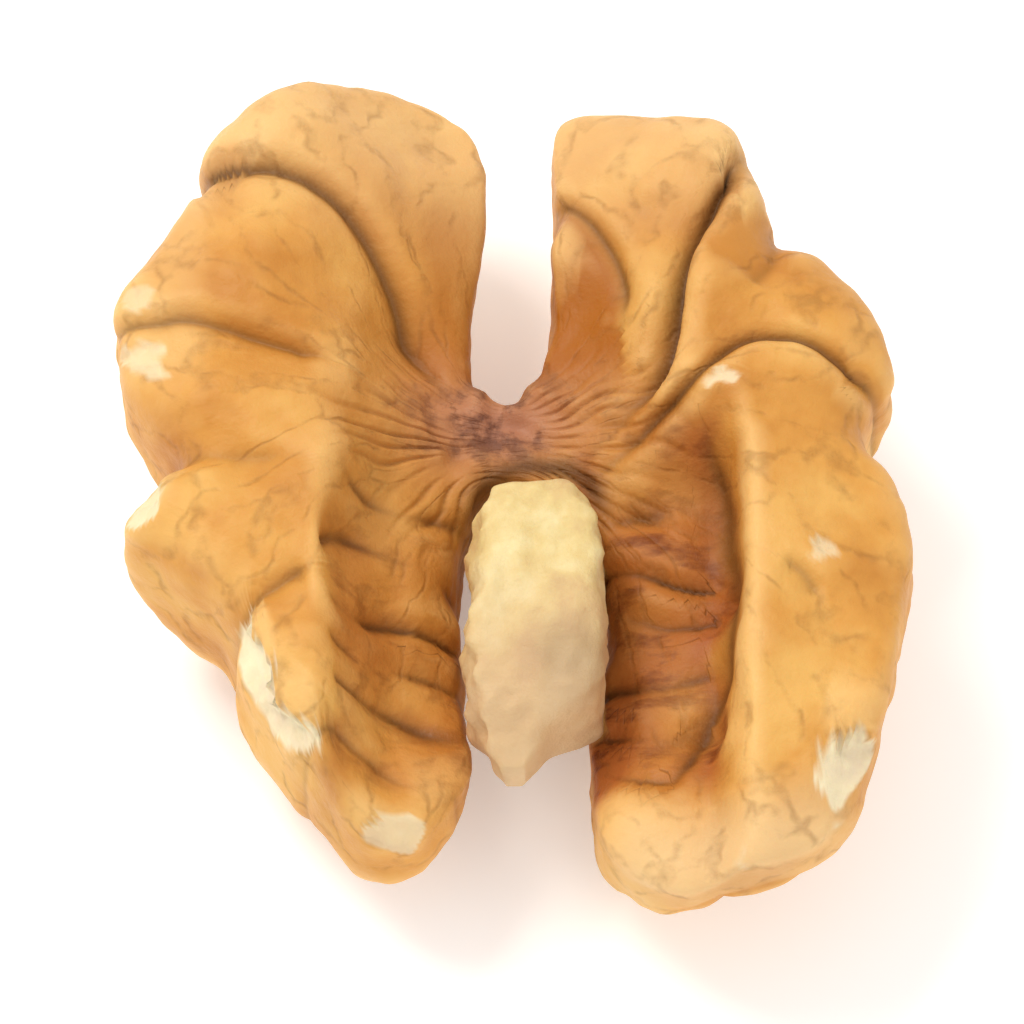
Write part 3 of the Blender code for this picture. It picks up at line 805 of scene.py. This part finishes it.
# Snapped kernel: oily pale meat that broke like hard cheese, so it is matt, cream and finely crumbly
def makeBroken():
    look = brokenLook
    material, tree, shader = newMaterial("brokenKernelMeat")
    place = placeInMm(tree)
    y = addNode(tree, "ShaderNodeSeparateXYZ", {}, {0: place}).outputs["Y"]
    lower = addNode(tree, "ShaderNodeMapRange", {"From Min": look["pinkFrom"], "From Max": look["pinkTo"],
                                                 "To Max": 0.75}, {"Value": y}).outputs[0]
    spot = addNode(tree, "ShaderNodeVectorMath", {"operation": "DISTANCE", 1: look["tanSpotAt"]},
                   {0: place}).outputs["Value"]
    spot = addNode(tree, "ShaderNodeMapRange", {"From Min": 2.0, "From Max": 0.8, "To Max": 0.6},
                   {"Value": spot}).outputs[0]
    colour = fleshColour(tree, place)
    for over, share in (("fleshPink", lower), ("fleshTan", spot)):
        colour = addNode(tree, "ShaderNodeMix", {"data_type": "RGBA", 7: linear(look[over])},
                         {0: share, 6: colour}).outputs[2]
    crumb = addNode(tree, "ShaderNodeTexNoise", {"Scale": look["crumbScale"], "Detail": 6.0,
                                                 "Roughness": 0.65}, {"Vector": place})
    bump = addNode(tree, "ShaderNodeBump", {"Strength": 0.7, "Distance": look["crumbDepth"] * mm},
                   {"Height": crumb.outputs["Fac"]})
    tree.links.new(colour, shader.inputs["Base Color"])
    tree.links.new(bump.outputs[0], shader.inputs["Normal"])
    shader.inputs["Roughness"].default_value = 0.6
    shader.inputs["Subsurface Weight"].default_value = 0.2
    shader.inputs["Subsurface Radius"].default_value = (1.0, 0.7, 0.4)
    shader.inputs["Subsurface Scale"].default_value = 0.8 * mm
    shader.inputs["IOR"].default_value = 1.47
    print("broken meat made")
    return material


studio = {
    "tableColour": "#FDFCFB",
    "tableGlow": 0.25,       # a light table, which keeps the shadows pale
    "tableSize": 0.6,
    "skyStrength": 0.75,
    "lamps": [
        # name, place in m, width in m, power in W, colour
        ("keyLamp", (-0.14, 0.10, 0.28), 0.14, 0.62, "#FFFBF4"),
        ("fillLamp", (0.22, -0.20, 0.20), 0.22, 0.2, "#FFFFFF"),
    ],
    "lampTarget": 0.005,     # m above the table
    "cameraAngle": 60.0,     # degrees above the table
    "cameraDistance": 0.45,
    "frameWidth": 36.0,      # mm across the picture at the kernel
    "sensorWidth": 36.0,
}


def makeTable():
    size = studio["tableSize"]
    mesh = bpy.data.meshes.new("table")
    mesh.from_pydata([(-size, -size, 0), (size, -size, 0), (size, size, 0), (-size, size, 0)], [],
                     [(0, 1, 2, 3)])
    table = bpy.data.objects.new("table", mesh)
    bpy.context.scene.collection.objects.link(table)
    material, _, shader = newMaterial("paleTable")
    shader.inputs["Base Color"].default_value = linear(studio["tableColour"])
    shader.inputs["Emission Color"].default_value = linear(studio["tableColour"])
    shader.inputs["Emission Strength"].default_value = studio["tableGlow"]
    shader.inputs["Roughness"].default_value = 0.7
    mesh.materials.append(material)
    print("table made")


def lookAt(obj, place, target):
    obj.location = place
    obj.rotation_euler = (Vector(target) - Vector(place)).to_track_quat("-Z", "Y").to_euler()


def makeLights():
    world = bpy.data.worlds.new("studioSky")
    world.use_nodes = True
    world.node_tree.nodes["Background"].inputs["Color"].default_value = (1, 1, 1, 1)
    world.node_tree.nodes["Background"].inputs["Strength"].default_value = studio["skyStrength"]
    bpy.context.scene.world = world
    for name, place, width, power, colour in studio["lamps"]:
        lamp = bpy.data.lights.new(name, "AREA")
        lamp.size, lamp.energy, lamp.color = width, power, linear(colour)[:3]
        obj = bpy.data.objects.new(name, lamp)
        bpy.context.scene.collection.objects.link(obj)
        lookAt(obj, place, (0, 0, studio["lampTarget"]))
    print("lights made")


def makeCamera():
    angle, distance = math.radians(studio["cameraAngle"]), studio["cameraDistance"]
    target = (cadLow + cadHigh) / 2
    camera = bpy.data.cameras.new("camera")
    camera.sensor_width = studio["sensorWidth"]
    camera.lens = studio["sensorWidth"] * distance / (studio["frameWidth"] * mm)
    camera.clip_start = 0.01
    obj = bpy.data.objects.new("camera", camera)
    bpy.context.scene.collection.objects.link(obj)
    lookAt(obj, target + Vector((0, -math.cos(angle), math.sin(angle))) * distance, target)
    bpy.context.scene.camera = obj
    bpy.context.scene.view_settings.view_transform = "Standard"
    print("camera made")


half = buildHalf(makeSkin(), makeBroken())
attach(half, "root")
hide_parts("walnut_half")
makeTable()
makeLights()
makeCamera()
